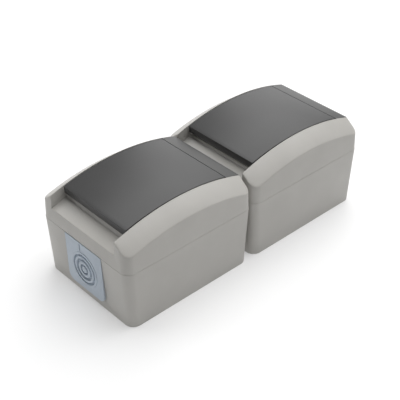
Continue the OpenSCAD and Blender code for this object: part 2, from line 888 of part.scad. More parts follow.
// Point at t, from 0 to 1, on the smooth curve through p1 and p2, with p0 before and p3 after
function smooth_point(p0, p1, p2, p3, t) =
    0.5 * (2 * p1 + (p2 - p0) * t + (2 * p0 - 5 * p1 + 4 * p2 - p3) * t * t
        + (3 * p1 - p0 - 3 * p2 + p3) * t * t * t);

// Smooth curve through all the points, in steps to each stretch
function smooth_curve(points, steps) = [
    for (i = [0:len(points) - 2], k = [0:steps - 1])
        smooth_point(points[max(i - 1, 0)], points[i], points[i + 1],
                     points[min(i + 2, len(points) - 1)], k / steps),
    points[len(points) - 1]
];

function unit(v) = v / norm(v);

// Direction of a curve at its point i
function heading(curve, i) = unit(curve[min(i + 1, len(curve) - 1)] - curve[max(i - 1, 0)]);

// Circle of corners round point, square to direction
function tube_ring(point, direction, r, sides) =
    let (side = unit(cross(direction, [0.02, 0.03, 1])), up = cross(side, direction))
    [for (k = [0:sides - 1]) point + r * cos(360 * k / sides) * side + r * sin(360 * k / sides) * up];

// Insulated wire along a curve, its bare ends core_l long
module wire(curve, core_l) {
    sides = 10;
    last = len(curve) - 1;
    start = heading(curve, 0);
    end = heading(curve, last);
    rings = concat(
        [tube_ring(curve[0] - core_l * start, start, core_r, sides),
         tube_ring(curve[0], start, core_r, sides)],
        [for (i = [0:last]) tube_ring(curve[i], heading(curve, i), link_r, sides)],
        [tube_ring(curve[last], end, core_r, sides),
         tube_ring(curve[last] + core_l * end, end, core_r, sides)]
    );
    points = [for (one = rings, p = one) p];
    count = len(rings);
    sides_list = [
        for (i = [0:count - 2], k = [0:sides - 1])
            let (a = i * sides + k, b = i * sides + (k + 1) % sides)
            each [[a, b, b + sides], [a, b + sides, a + sides]]
    ];
    ends = [[for (k = [sides - 1:-1:0]) k], [for (k = [0:sides - 1]) (count - 1) * sides + k]];
    polyhedron(points = points, faces = concat(sides_list, ends), convexity = 8);
}

// Link from the high-end side of one terminal to the low-end side of the next
module link(s, tint) {
    y_term = pitch / 2 - terminal_l / 2 - 0.6;
    y_block = pitch / 2 - block_l / 2;
    half = [
        [terminal_x, y_term], [terminal_x, y_block + 3], [terminal_x - 1.5, y_block - 2.5],
        [link_x + 4, y_block - 9.27], [link_x, y_in + 4]
    ];
    points = [
        for (p = half) [s * p.x, -p.y, wire_z],
        for (i = [len(half) - 1:-1:0]) [s * half[i].x, half[i].y, wire_z]
    ];
    color(tint) wire(smooth_curve(points, 4), 7);
}

module earth_link() {
    y_1 = -pitch / 2 + earth_y;
    y_2 = pitch / 2 + earth_y;
    y_face = -pitch / 2 - block_l / 2;
    y_gap = y_face - 1.95;
    x_side = block_w / 2 + 4.2;
    x_term = earth_w / 2 + 0.4;
    z_low = coupling_h - 4;
    points = [
        [x_term, y_1, earth_z], [x_term + 2.6, y_1, earth_z], [x_term + 5.8, y_1 + 2.6, earth_z - 1],
        [x_term + 9, y_gap, earth_z - 2], [x_side - 4.2, y_gap, earth_z - 3],
        [x_side - 0.9, y_gap + 0.9, earth_z - 4], [x_side, y_gap + 5, z_low + 2],
        [x_side, y_face + block_l / 2, z_low], [x_side, -y_in - 17, z_low - 0.6],
        [x_side - 11, -y_in - 12.4, z_low - 0.6], [2, -y_in - 5, z_low], [-1, y_in + 4.4, z_low],
        [3, y_2 - 4.27, z_low - 0.4], [x_term + 4.6, y_2 - 3.87, z_low + 1],
        [x_term + 7, y_2 - 1.4, earth_z - 2.4], [x_term + 4, y_2, earth_z], [x_term, y_2, earth_z]
    ];
    color(earth_green) wire(smooth_curve(points, 3), 4);
}

// ---- placing ----

// Sets a module's piece in its place: 1 is the low module, 2 the high one
module seat(number) {
    translate([0, (number - 1.5) * pitch, 0]) children();
}

seat(1) base_box(-1);  // base_box_1
seat(2) base_box(1);  // base_box_2
seat(1) base_gasket();  // base_gasket_1
seat(2) base_gasket();  // base_gasket_2
seat(1) cover();  // cover_1
seat(2) cover();  // cover_2
seat(1) cover_screws();  // cover_screws_1
seat(2) cover_screws();  // cover_screws_2
seat(1) lid();  // lid_1
seat(2) lid();  // lid_2
seat(1) lid_seal();  // lid_seal_1
seat(2) lid_seal();  // lid_seal_2
seat(1) hinge_pin();  // hinge_pin_1
seat(2) hinge_pin();  // hinge_pin_2
seat(1) lid_spring();  // lid_spring_1
seat(2) lid_spring();  // lid_spring_2
seat(1) hinge_cap();  // hinge_cap_1
seat(2) hinge_cap();  // hinge_cap_2
seat(1) socket_well();  // socket_well_1
seat(2) socket_well();  // socket_well_2
seat(1) well_seal();  // well_seal_1
seat(2) well_seal();  // well_seal_2
seat(1) well_screw();  // well_screw_1
seat(2) well_screw();  // well_screw_2
seat(1) contact_block();  // contact_block_1
seat(2) contact_block();  // contact_block_2
seat(1) block_screws();  // block_screws_1
seat(2) block_screws();  // block_screws_2
seat(1) contact(1);  // line_contact_1
seat(2) contact(1);  // line_contact_2
seat(1) contact(-1);  // neutral_contact_1
seat(2) contact(-1);  // neutral_contact_2
seat(1) earth_strap();  // earth_strap_1
seat(2) earth_strap();  // earth_strap_2
seat(1) terminal_screws();  // terminal_screws_1
seat(2) terminal_screws();  // terminal_screws_2
seat(1) entry_plate(true);  // cable_entry
seat(2) scale([1, -1, 1]) entry_plate(false);  // blank_entry
coupling_sleeve();
coupling_nut();
coupling_seal();
link(1, line_brown);  // line_link
link(-1, neutral_blue);  // neutral_link
earth_link();
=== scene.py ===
# %% [markdown]
# # A double socket outlet for a workshop wall
# Two equal grey modules stand in line. Each has an arched top between two bevelled cheeks, and a dark
# sprung lid over an earthed plug well. The engineering model already fixes every size and every joint, so
# the work here is the outside: the mouldings that show, their finishes, and the light. Lengths below are
# in millimetres, as on a drawing, and the modelling helpers turn them into metres.

# %% Load the engineering model
import json
import math

import bmesh
import bpy
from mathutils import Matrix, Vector


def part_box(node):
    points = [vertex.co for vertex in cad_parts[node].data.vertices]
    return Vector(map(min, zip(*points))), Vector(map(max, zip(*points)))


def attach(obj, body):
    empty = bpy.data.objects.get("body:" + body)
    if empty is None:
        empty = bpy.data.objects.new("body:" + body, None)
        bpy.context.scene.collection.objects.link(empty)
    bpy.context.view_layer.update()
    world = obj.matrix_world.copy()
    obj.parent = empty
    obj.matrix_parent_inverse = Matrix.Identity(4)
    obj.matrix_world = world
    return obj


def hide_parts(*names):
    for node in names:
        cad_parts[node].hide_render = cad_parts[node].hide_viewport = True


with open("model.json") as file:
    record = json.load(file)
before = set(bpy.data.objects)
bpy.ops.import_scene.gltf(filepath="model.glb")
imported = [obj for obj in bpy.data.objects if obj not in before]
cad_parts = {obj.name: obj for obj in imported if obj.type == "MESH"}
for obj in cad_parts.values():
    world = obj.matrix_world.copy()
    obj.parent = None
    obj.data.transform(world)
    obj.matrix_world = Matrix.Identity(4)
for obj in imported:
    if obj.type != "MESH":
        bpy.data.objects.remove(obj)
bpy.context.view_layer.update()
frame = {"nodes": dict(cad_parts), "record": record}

# %% [markdown]
# ## Sizes
# A moulding is easier to model when its sizes have names. Those that the engineering model can give are
# read from the boxes of its parts. The others, such as the arch and the draft angles, repeat the drawing.
# Each module is modelled once around the origin, and its copies are set down half a pitch to each side.

# %% Sizes of one module
MM = 0.001


def box_mm(node):
    """Lowest and highest corner of an engineering part, in millimetres."""
    return [[c / MM for c in corner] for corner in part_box(node)]


base_low, base_high = box_mm("base_box_1")
cover_low, cover_high = box_mm("cover_1")
lid_low, lid_high = box_mm("lid_1")
collar_top = box_mm("socket_well_1")[1][2]
pin_low, pin_high = box_mm("hinge_pin_1")

base_hw = (base_high[0] - base_low[0]) / 2
base_hl = (base_high[1] - base_low[1]) / 2
base_h = base_high[2]
module_y = (base_low[1] + base_high[1]) / 2
cover_hw = (cover_high[0] - cover_low[0]) / 2
cover_hl = (cover_high[1] - cover_low[1]) / 2
crown_h = cover_high[2]
lid_hw = (lid_high[0] - lid_low[0]) / 2
lid_front = lid_low[1] - module_y
hinge_y = (pin_low[1] + pin_high[1]) / 2 - module_y
hinge_z = (pin_low[2] + pin_high[2]) / 2
pin_r = (pin_high[2] - pin_low[2]) / 2

crown_drop = 6.6
crown_r = (base_hl**2 + crown_drop**2) / (2 * crown_drop)
bevel_slope = math.tan(math.radians(37.7))
lid_gap = 0.45
cheek_land = 0.5
collar_rise = 3.2
strip_l = 9.7
bay_hw = lid_hw + lid_gap
cheek_x = bay_hw + cheek_land
deck_z = collar_top - collar_rise
seam_y = base_hl - strip_l
front_corner = 5.0
rear_corner = 4.0
cover_side_draft = math.radians(1.3)
cover_end_draft = math.radians(1.7)
base_side_draft = math.radians(0.9)
base_end_draft = math.radians(3)
print("module, mm:", round(2 * base_hw, 2), "x", round(2 * base_hl, 2), "x", round(crown_h, 2))
print("arch radius, mm:", round(crown_r, 1))

# %% [markdown]
# ## Camera, floor and light
# The camera comes first, because every later choice is judged through it. It looks down along the row of
# modules from the cable-entry end with a rather long lens, as product pictures do. The floor is one large
# pale plane that gives a little light of its own, so that it stays nearly white round the object. Four
# soft panels light the object: a broad one overhead, one from the left, one from behind and a faint one
# from the right. A weak sky fills the shadows.

# %% Camera
azimuth = math.radians(47.49)
elevation = math.radians(36.22)
distance = 499.8
aim = Vector((-0.81, -4.3, 21.39))
level_way = Vector((math.sin(azimuth), -math.cos(azimuth), 0))
backwards = level_way * math.cos(elevation) + Vector((0, 0, math.sin(elevation)))
camera_data = bpy.data.cameras.new("camera")
camera = bpy.data.objects.new("camera", camera_data)
bpy.context.collection.objects.link(camera)
camera.location = (aim + backwards * distance) * MM
camera.rotation_euler = (math.pi / 2 - elevation, 0, azimuth)
camera_data.sensor_width = 36
camera_data.lens = 87.08
camera_data.clip_start = 0.01
camera_data.dof.use_dof = False
bpy.context.scene.camera = camera
print("camera at, mm:", [round(c / MM, 1) for c in camera.location])

# %% Floor and world
bpy.ops.object.select_all(action="DESELECT")
bpy.ops.mesh.primitive_plane_add(size=6, location=(0, 0, 0))
floor = bpy.context.object
floor.name = "floor"
floor_paint = bpy.data.materials.new("pale floor")
floor_paint.use_nodes = True
floor_shader = floor_paint.node_tree.nodes["Principled BSDF"]
floor_shader.inputs["Base Color"].default_value = (0.62, 0.62, 0.62, 1)
floor_shader.inputs["Emission Color"].default_value = (1, 1, 1, 1)
floor_shader.inputs["Emission Strength"].default_value = 0.33
floor_shader.inputs["Roughness"].default_value = 0.9
floor.data.materials.append(floor_paint)

sky = bpy.data.worlds.new("studio")
sky.use_nodes = True
sky.node_tree.nodes["Background"].inputs["Color"].default_value = (1, 1, 1, 1)
sky.node_tree.nodes["Background"].inputs["Strength"].default_value = 0.07
bpy.context.scene.world = sky
bpy.context.scene.view_settings.view_transform = "Standard"


# %% Soft panels
def soft_panel(name, place, size, watts):
    """A square area light at place, in metres, turned towards the object."""
    light_data = bpy.data.lights.new(name, "AREA")
    light_data.shape = "SQUARE"
    light_data.size = size
    light_data.energy = watts
    light = bpy.data.objects.new(name, light_data)
    bpy.context.collection.objects.link(light)
    light.location = place
    light.rotation_euler = Vector(place).to_track_quat("Z", "Y").to_euler()


soft_panel("overhead panel", place=(-0.1, 0.6, 1.6), size=2.2, watts=49)
soft_panel("left panel", place=(-1.1, -0.9, 0.7), size=0.8, watts=4.3)
soft_panel("right panel", place=(1.0, 0.9, 0.7), size=0.8, watts=0.3)
soft_panel("back panel", place=(-0.85, 1.1, 0.5), size=0.9, watts=3.8)

# %% [markdown]
# ## Workshop helpers
# A handful of moves come back for every moulding: add a box or a drum, pick some of its corners, edges or
# faces by their place, cut one shape with another, and round the edges that are left. Giving each move a
# name keeps the modelling below short. Everything is deselected before each move, because an operator
# acts on all that is selected.


# %% Picking up and adding shapes
def take(piece):
    """Makes piece the only selected object and the active one."""
    bpy.ops.object.select_all(action="DESELECT")
    piece.select_set(True)
    bpy.context.view_layer.objects.active = piece


def settle(name):
    """Names the shape just added and writes its place, turn and size into its mesh."""
    piece = bpy.context.object
    piece.name = name
    bpy.ops.object.transform_apply(location=True, rotation=True, scale=True)
    return piece


def block(name, low, high):
    """A box between two corners."""
    bpy.ops.object.select_all(action="DESELECT")
    middle = [(a + b) / 2 * MM for a, b in zip(low, high)]
    size = [(b - a) * MM for a, b in zip(low, high)]
    bpy.ops.mesh.primitive_cube_add(size=1, location=middle, scale=size)
    return settle(name)


def drum(name, radius, start, end, sides=96):
    """A cylinder between two points on its axis."""
    bpy.ops.object.select_all(action="DESELECT")
    start, end = Vector(start) * MM, Vector(end) * MM
    turn = (end - start).to_track_quat("Z", "Y").to_euler()
    bpy.ops.mesh.primitive_cylinder_add(
        vertices=sides, radius=radius * MM, depth=(end - start).length, location=(start + end) / 2, rotation=turn
    )
    return settle(name)


HOLE_SIDES = 32
PIN_SIDES = 48


def upright(name, radius, place, low, high, sides=96):
    """A drum that stands at a place (x, y)."""
    return drum(name, radius, (*place, low), (*place, high), sides)


def lengthwise(name, radius, z, start, end, sides=96):
    """A drum along the middle of the module, at a height z."""
    return drum(name, radius, (0, start, z), (0, end, z), sides)


def on_hinge(name, radius, start, end, sides=96):
    """A drum along the axis of the hinge."""
    return drum(name, radius, (start, hinge_y, hinge_z), (end, hinge_y, hinge_z), sides)


# %% Edit mode
def pick(piece, kind, wanted):
    """Enters edit mode and selects the VERT, EDGE or FACE parts that wanted() accepts."""
    if bpy.context.mode != "EDIT_MESH":
        take(piece)
        bpy.ops.object.mode_set(mode="EDIT")
    bpy.ops.mesh.select_mode(type=kind)
    bpy.ops.mesh.select_all(action="DESELECT")
    shape = bmesh.from_edit_mesh(piece.data)
    parts = {"VERT": shape.verts, "EDGE": shape.edges, "FACE": shape.faces}[kind]
    for part in [part for part in parts if wanted(part)]:
        part.select_set(True)
    shape.select_flush_mode()
    bmesh.update_edit_mesh(piece.data)


def leave():
    """Back to object mode."""
    bpy.ops.object.mode_set(mode="OBJECT")


def move(x=0.0, y=0.0, z=0.0):
    """Moves what is selected."""
    bpy.ops.transform.translate(value=(x * MM, y * MM, z * MM))


def round_off(width, segments):
    """Rounds the selected edges."""
    bpy.ops.mesh.bevel(offset=width * MM, segments=segments, affect="EDGES", clamp_overlap=False)


def slice_at(piece, place, normal, cut_away=False):
    """Cuts piece along a plane. With cut_away, what lies on normal's side goes and the cut is closed."""
    pick(piece, "FACE", lambda face: True)
    bpy.ops.mesh.bisect(
        plane_co=[c * MM for c in place], plane_no=normal, use_fill=cut_away, clear_outer=cut_away, threshold=1e-7
    )


def middle_of(part):
    """Middle of an edge or a face, in millimetres."""
    if isinstance(part, bmesh.types.BMEdge):
        return (part.verts[0].co + part.verts[1].co) / 2 / MM
    return part.calc_center_median() / MM


def runs_along(edge, axis):
    """True if an edge is parallel to an axis, 0 for X, 1 for Y and 2 for Z."""
    way = (edge.verts[1].co - edge.verts[0].co).normalized()
    return abs(way[axis]) > 0.999


# %% Finishing
def finish_with(piece, kind, **settings):
    """Adds a modifier with these settings and applies it."""
    take(piece)
    change = piece.modifiers.new(kind.lower(), kind)
    for name, value in settings.items():
        setattr(change, name, value)
    bpy.ops.object.modifier_apply(modifier=change.name)


def combine(piece, other, operation):
    """Boolean of piece and other. other is used up."""
    finish_with(piece, "BOOLEAN", operation=operation, object=other, solver="EXACT")
    bpy.data.objects.remove(other)


def cut(piece, cutter):
    """Takes cutter out of piece."""
    combine(piece, cutter, "DIFFERENCE")


def join(piece, other):
    """Makes other a part of piece."""
    combine(piece, other, "UNION")


def tidy(piece):
    """Merges what the cuts left double and joins the flat pieces of one plane."""
    pick(piece, "VERT", lambda corner: True)
    bpy.ops.mesh.remove_doubles(threshold=2e-6)
    bpy.ops.mesh.dissolve_limited(angle_limit=math.radians(0.15))
    leave()


def soften(piece, width, keep=None, angle=28):
    """Rounds every edge sharper than angle but those that keep() names, and shades piece smooth."""
    limit = math.radians(angle)
    pick(piece, "EDGE", lambda edge: edge.calc_face_angle(0) > limit and not (keep and keep(edge)))
    bpy.ops.mesh.bevel(offset=width * MM, segments=2, affect="EDGES", clamp_overlap=False, miter_outer="ARC")
    leave()
    take(piece)
    bpy.ops.object.shade_smooth_by_angle(angle=limit)


def on_parting(edge):
    """True for the edges where base and cover meet, which stay crisp."""
    return all(abs(corner.co.z / MM - base_h) < 0.02 for corner in edge.verts)


def report(piece):
    """Prints how large a piece is and whether its mesh is closed."""
    shape = bmesh.new()
    shape.from_mesh(piece.data)
    open_edges = sum(len(edge.link_faces) != 2 for edge in shape.edges)
    inside_out = shape.calc_volume(signed=True) < 0
    low = [min(corner.co[i] for corner in shape.verts) / MM for i in range(3)]
    high = [max(corner.co[i] for corner in shape.verts) / MM for i in range(3)]
    print(piece.name, "faces", len(shape.faces), "open edges", open_edges, "inside out" if inside_out else "")
    volume = round(shape.calc_volume() / MM**3)
    print("   ", [round(c, 2) for c in low], [round(c, 2) for c in high], "volume", volume)
    shape.free()


# %% [markdown]
# ## The arch
# Covers and lids share one arched top, a cylinder of about 120 mm radius that lies across the module.
# Cutting each part with a real cylinder leaves slivers where two curved cuts meet. It is cleaner to slice
# a straight part into narrow stations along its length and to let each station down by the arch's own
# fall: the bevels then follow the arch exactly as the flat top does.


# %% Bending a straight part onto the arch
def fall(y):
    """How far the arch lies below its highest point, y away from the module's middle."""
    return crown_r - math.sqrt(crown_r**2 - y**2)


def arch(piece, above, stations=32):
    """Slices piece into stations and lets all of it that is higher than above down onto the arch."""
    reach = max(abs(corner.co.y) for corner in piece.data.vertices) / MM
    for k in range(1, stations):
        slice_at(piece, (0, -reach + 2 * reach * k / stations, 0), (0, 1, 0))
    leave()
    rows = sorted({round(corner.co.y, 6) for corner in piece.data.vertices if corner.co.z > above * MM})
    for row in rows:
        pick(piece, "VERT", lambda corner: round(corner.co.y, 6) == row and corner.co.z > above * MM)
        move(z=-fall(row / MM))
    leave()


def arched_slab(name, half_w, y_low, y_high, thickness, depth=0.0):
    """A slab of even height under the arch, its top depth below the crown."""
    slab = block(name, (-half_w, y_low, crown_h - depth - thickness), (half_w, y_high, crown_h - depth))
    arch(slab, 0)
    return slab


# %% [markdown]
# ## Covers
# The cover is the grey upper moulding. Its outside is one arched block with rounded upright corners and
# two long bevels, cut by the bay that holds the lid. On the real part the wall is about two millimetres
# thick all round, the deck and the cheeks too. A Solidify modifier would fold over itself in the narrow
# cheeks, so the same builder is used twice: a full block for the outside and a smaller one for the
# hollow, each cut by its own bay.


# %% The arched block
def arched_block(name, inset, bottom, rounding):
    """Bevelled and arched block of the cover, reduced on all sides by inset."""
    hw, hl = cover_hw - inset, cover_hl - inset
    top = crown_h - inset
    piece = block(name, (-hw, -hl, bottom), (hw, hl, top))
    for side, radius in ((-1, front_corner), (1, rear_corner)):
        pick(piece, "EDGE", lambda edge: runs_along(edge, 2) and middle_of(edge).y * side > 0)
        round_off(radius - inset, 10)
    across = inset / math.cos(math.atan(bevel_slope)) - inset
    edge_x = cheek_x - across / bevel_slope
    low_edge = top - (hw - edge_x) * bevel_slope
    for side in (-1, 1):
        slice_at(piece, (side * edge_x, 0, top), (side * bevel_slope, 0, 1), cut_away=True)
    if rounding:
        pick(piece, "EDGE", lambda edge: on_bevel(edge, edge_x, top) and middle_of(edge).z < top - 0.5)
        round_off(rounding, 3)
        print(name, "lower edge of the bevels at", round(low_edge, 2))
    leave()
    arch(piece, low_edge - 2)
    draft(piece, bottom, hw, hl)
    return piece


def on_bevel(edge, edge_x, top):
    """True for an edge that lies in a bevel and also bounds an upright face."""
    def in_plane(corner):
        return abs((abs(corner.co.x / MM) - edge_x) * bevel_slope + corner.co.z / MM - top) < 0.01

    upright = any(abs(face.normal.z) < 0.01 for face in edge.link_faces)
    return upright and in_plane(edge.verts[0]) and in_plane(edge.verts[1])


def draft(piece, bottom, hw, hl):
    """Draws the sides in towards the top by the mould's draft, with a two by two by two lattice."""
    bpy.ops.object.select_all(action="DESELECT")
    height = crown_h - bottom
    bpy.ops.object.add(type="LATTICE", location=(0, 0, (bottom + height / 2) * MM))
    cage = bpy.context.object
    cage.scale = (2 * hw * MM, 2 * hl * MM, height * MM)
    for way in "uvw":
        setattr(cage.data, "interpolation_type_" + way, "KEY_LINEAR")
    for point in cage.data.points:
        rise = (crown_h if point.co.z > 0 else bottom) - base_h
        point.co_deform.x *= 1 - rise * math.tan(cover_side_draft) / cover_hw
        point.co_deform.y *= 1 - rise * math.tan(cover_end_draft) / cover_hl
    bpy.context.view_layer.update()
    finish_with(piece, "LATTICE", object=cage)
    bpy.data.objects.remove(cage)


# %% [markdown]
# The bay is a cutter of its own: a long box whose floor is shaped into the shelf of the finger recess,
# the flat deck and, behind the lid's hinge, a lower trough. Its floor is one row of faces, so a slice and
# an extrusion are enough. A round land stays standing in the trough, because the plug well's flange has
# to rest on something there. Made a little larger, the same cutter leaves the walls of the bay in the
# hollow block.

# %% The bay and the trough
recess_l = 7.8
recess_end = -base_hl + recess_l
shelf_step = 1.8
shelf_round = 1.2
shelf_slope = math.tan(math.radians(16.9))
swing_r = math.hypot(hinge_z - (crown_h - fall(seam_y)), hinge_y - seam_y)
room_below = 0.5
room_before = 0.3
trough_z = hinge_z - swing_r - room_below
trough_y = hinge_y - swing_r - room_before
beyond = 5
past_end = base_hl + beyond
above_all = crown_h + 25


def bay_cutter(name, wall, drop):
    """Everything that is cut away between the cheeks: wall widens it and drop lowers its floor."""
    half_w = bay_hw + wall
    floor_z = deck_z - drop
    cutter = block(name, (-half_w, -past_end, floor_z), (half_w, past_end, above_all))
    slice_at(cutter, (0, recess_end + shelf_step, 0), (0, 1, 0))
    pick(cutter, "FACE", lambda face: face.normal.z < -0.9 and middle_of(face).y < recess_end + shelf_step)
    bpy.ops.mesh.extrude_region_move()
    move(z=shelf_slope * shelf_step - shelf_step)
    front_drop = shelf_slope * (recess_end + past_end + shelf_step)
    pick(cutter, "EDGE", lambda edge: runs_along(edge, 0) and middle_of(edge).y < -past_end + 1
         and middle_of(edge).z < floor_z + 1)
    move(z=-front_drop)
    if not wall:
        pick(cutter, "EDGE", lambda edge: runs_along(edge, 0) and middle_of(edge).z < floor_z - 0.5
             and abs(middle_of(edge).y - recess_end - shelf_step) < 0.01)
        round_off(shelf_round, 6)
    leave()
    return cutter


def trough_cutter(name, wall, drop):
    """The lower floor behind the hinge."""
    half_w = bay_hw + wall
    return block(name, (-half_w, trough_y - drop, trough_z - drop), (half_w, past_end, deck_z + 1))


# %% The cover
flange_r = bay_hw - 0.5
land_gap = 0.3
well_hole_r = 22.1
cover_wall = 2.2
cheek_wall = 2.0
screw_hole_r = 1.9
screw_x = 19.5
screw_y = -base_hl + 15
recess_edge = 0.5

cover = arched_block("cover", inset=0, bottom=base_h, rounding=0.5)
cut(cover, bay_cutter("bay", wall=0, drop=0))
trough = trough_cutter("trough", wall=0, drop=0)
cut(trough, upright("land", flange_r + land_gap, (0, 0), trough_z - beyond, deck_z + beyond))
cut(cover, trough)
report(cover)

hollow = arched_block("hollow", inset=cover_wall, bottom=base_h - 3, rounding=0)
report(hollow)
cut(hollow, bay_cutter("bay walls", wall=cheek_wall, drop=cover_wall))
report(hollow)
cut(hollow, trough_cutter("trough walls", wall=cheek_wall + 0.05, drop=cover_wall))
report(hollow)
cut(cover, hollow)
cut(cover, upright("well hole", well_hole_r, (0, 0), base_h, above_all))
for side in (-1, 1):
    cut(cover, upright("screw hole", screw_hole_r, (side * screw_x, screw_y), base_h, above_all, HOLE_SIDES))
report(cover)
tidy(cover)
# The front edge of the finger recess is rounder than the others
pick(cover, "EDGE", lambda edge: runs_along(edge, 0) and middle_of(edge).y < 1 - cover_hl
     and deck_z - 6 < middle_of(edge).z < deck_z - 2)
round_off(recess_edge, 3)
soften(cover, width=0.22, keep=on_parting)
report(cover)

# %% [markdown]
# ## Base boxes
# The lower moulding is a plain drafted tray. It starts as a box whose underside is scaled in, gets its
# upright corners from a bevel, and is hollowed from above with one inset and one extrusion, as a mould's
# core would do it. Posts for the screws are joined on, and the openings are cut last. The two trays are
# equal but for their ends: the coupling that joins them sits on one end of each, and the slot for the
# cable entry on the other.

# %% The tray
wall = 2.4
floor_t = 2.6
block_bottom = box_mm("contact_block_1")[0][2]


def shrink_to(x, y):
    """Scales what is selected towards the module's middle."""
    bpy.ops.transform.resize(value=(x, y, 1), center_override=(0, 0, 0))


def tray_half(z):
    """Half width and half length of the drafted tray at a height z."""
    down = base_h - z
    return base_hw - down * math.tan(base_side_draft), base_hl - down * math.tan(base_end_draft)


tray = block("tray", (-base_hw, -base_hl, 0), (base_hw, base_hl, base_h))
foot_hw, foot_hl = tray_half(0)
pick(tray, "FACE", lambda face: face.normal.z < -0.9)
shrink_to(foot_hw / base_hw, foot_hl / base_hl)
for side, radius in ((-1, front_corner), (1, rear_corner)):
    pick(tray, "EDGE", lambda edge: middle_of(edge).y * side > 0 and 1 < middle_of(edge).z < base_h - 1)
    round_off(radius, 10)
pick(tray, "FACE", lambda face: face.normal.z > 0.9)
bpy.ops.mesh.inset(thickness=wall * MM)
bpy.ops.mesh.extrude_region_move()
move(z=floor_t - base_h)
low_hw, low_hl = tray_half(floor_t)
shrink_to((low_hw - wall) / (base_hw - wall), (low_hl - wall) / (base_hl - wall))
leave()
report(tray)

# %% Posts and holes of the tray
post_r = 3.6
lock_x, lock_y = 10, 13
cover_thread_r = 1.77
block_thread_r = 1.52
thread_low = 9
wall_screw_r = 2.2
wall_screw_x = 11.5
wall_screw_y = base_hl - 10.5
for side in (-1, 1):
    screw_at, lock_at = (side * screw_x, screw_y), (side * lock_x, side * lock_y)
    join(tray, upright("cover post", post_r, screw_at, floor_t / 2, base_h - 0.3, PIN_SIDES))
    join(tray, upright("block post", post_r, lock_at, floor_t / 2, block_bottom, PIN_SIDES))
for side in (-1, 1):
    screw_at, lock_at = (side * screw_x, screw_y), (side * lock_x, side * lock_y)
    cut(tray, upright("cover thread", cover_thread_r, screw_at, thread_low, base_h + 9, HOLE_SIDES))
    cut(tray, upright("block thread", block_thread_r, lock_at, floor_t + 0.3, base_h, HOLE_SIDES))
    for end in (-1, 1):
        hole_at = (side * wall_screw_x, end * wall_screw_y)
        cut(tray, upright("wall screw hole", wall_screw_r, hole_at, -beyond, 9, HOLE_SIDES))
report(tray)


# %% The two ends
coupling_z = 17.0
coupling_hole_r = 9.1
pad_r = 13
pad_t = wall + base_h * math.tan(base_end_draft) + 0.1
entry_hw = 13.9
entry_low = 4.9
entry_lip = 2.0
slot_corner = 2


def finished_tray(name, entry_end):
    """A copy of the tray with its cable slot at entry_end, -1 or 1, and its coupling at the other end."""
    take(tray)
    bpy.ops.object.duplicate()
    piece = settle(name)
    joint = -entry_end
    join(piece, lengthwise("pad", pad_r, coupling_z, joint * (base_hl - pad_t), joint * (base_hl - 0.02)))
    cut(piece, lengthwise("coupling hole", coupling_hole_r, coupling_z, joint * 20, joint * past_end))
    near, far_out = sorted((entry_end * (base_hl - 6), entry_end * past_end))
    slot_w = entry_hw - entry_lip
    slot = block("slot", (-slot_w, near, entry_low + entry_lip), (slot_w, far_out, base_h + 5))
    pick(slot, "EDGE", lambda edge: runs_along(edge, 1) and middle_of(edge).z < base_h)
    round_off(slot_corner, 6)
    leave()
    cut(piece, slot)
    tidy(piece)
    soften(piece, width=0.25, keep=on_parting)
    return piece


def set_down(piece, y):
    """Writes a shift along Y into the mesh, in millimetres."""
    take(piece)
    bpy.ops.transform.translate(value=(0, y * MM, 0))
    bpy.ops.object.transform_apply(location=True, rotation=True, scale=True)


base_shell_1 = finished_tray("base_shell_1", -1)
base_shell_2 = finished_tray("base_shell_2", 1)
bpy.data.objects.remove(tray)
set_down(base_shell_1, module_y)
set_down(base_shell_2, -module_y)
report(base_shell_1)
report(base_shell_2)

# %% [markdown]
# ## Lids
# A lid is an arched skin with a rim along its sides and its front. Underneath it carries two knuckles for
# the steel pin and a round wall for the seal that closes on the well's collar. Skin and rim come from one
# arched slab and a second one that is cut out from below. The round wall is a tube that is trimmed to the
# arch, so that it meets the skin everywhere and shows nowhere outside. The sides stand back a little from
# the engineering model's, so that the dark line beside each lid can be seen.

# %% The lid
rim_h = 3.5
rim_t = 1.6
skin_t = 2.2
side_setback = 0.2
carrier_outer_r = 21.75
carrier_inner_r = 19.95
carrier_gap = 1.4
knuckle_r = 2.2
knuckle_x = 8.8
spring_bay_r = 2.1
across_all = 40
lid = arched_slab("lid", lid_hw - side_setback, lid_front, seam_y, rim_h)
cut(lid, arched_slab("under the skin", lid_hw - rim_t, lid_front + rim_t, seam_y + 4, rim_h, skin_t))
report(lid)
carrier = upright("seal carrier", carrier_outer_r, (0, 0), collar_top + carrier_gap, above_all)
cut(carrier, upright("inside of the carrier", carrier_inner_r, (0, 0), base_h, above_all + beyond))
combine(carrier, arched_slab("trim", 30, -30, 30, 12, skin_t / 2), "INTERSECT")
join(lid, carrier)
for side in (-1, 1):
    join(lid, on_hinge("knuckle", knuckle_r, side * knuckle_x, side * (lid_hw - 0.4), PIN_SIDES))
cut(lid, on_hinge("pin bore", pin_r + 0.05, -across_all, across_all, PIN_SIDES))
cut(lid, on_hinge("spring bay", spring_bay_r, -knuckle_x, knuckle_x, PIN_SIDES))
report(lid)
tidy(lid)
soften(lid, width=0.12)
report(lid)

# %% [markdown]
# ## Hinge strips
# Behind the lid a short fixed strip finishes the arch and closes the grooves of the hinge pin. Its front
# is hollowed round the hinge so that the lid's end can swing down past it, and its end follows the draft
# of the cover.

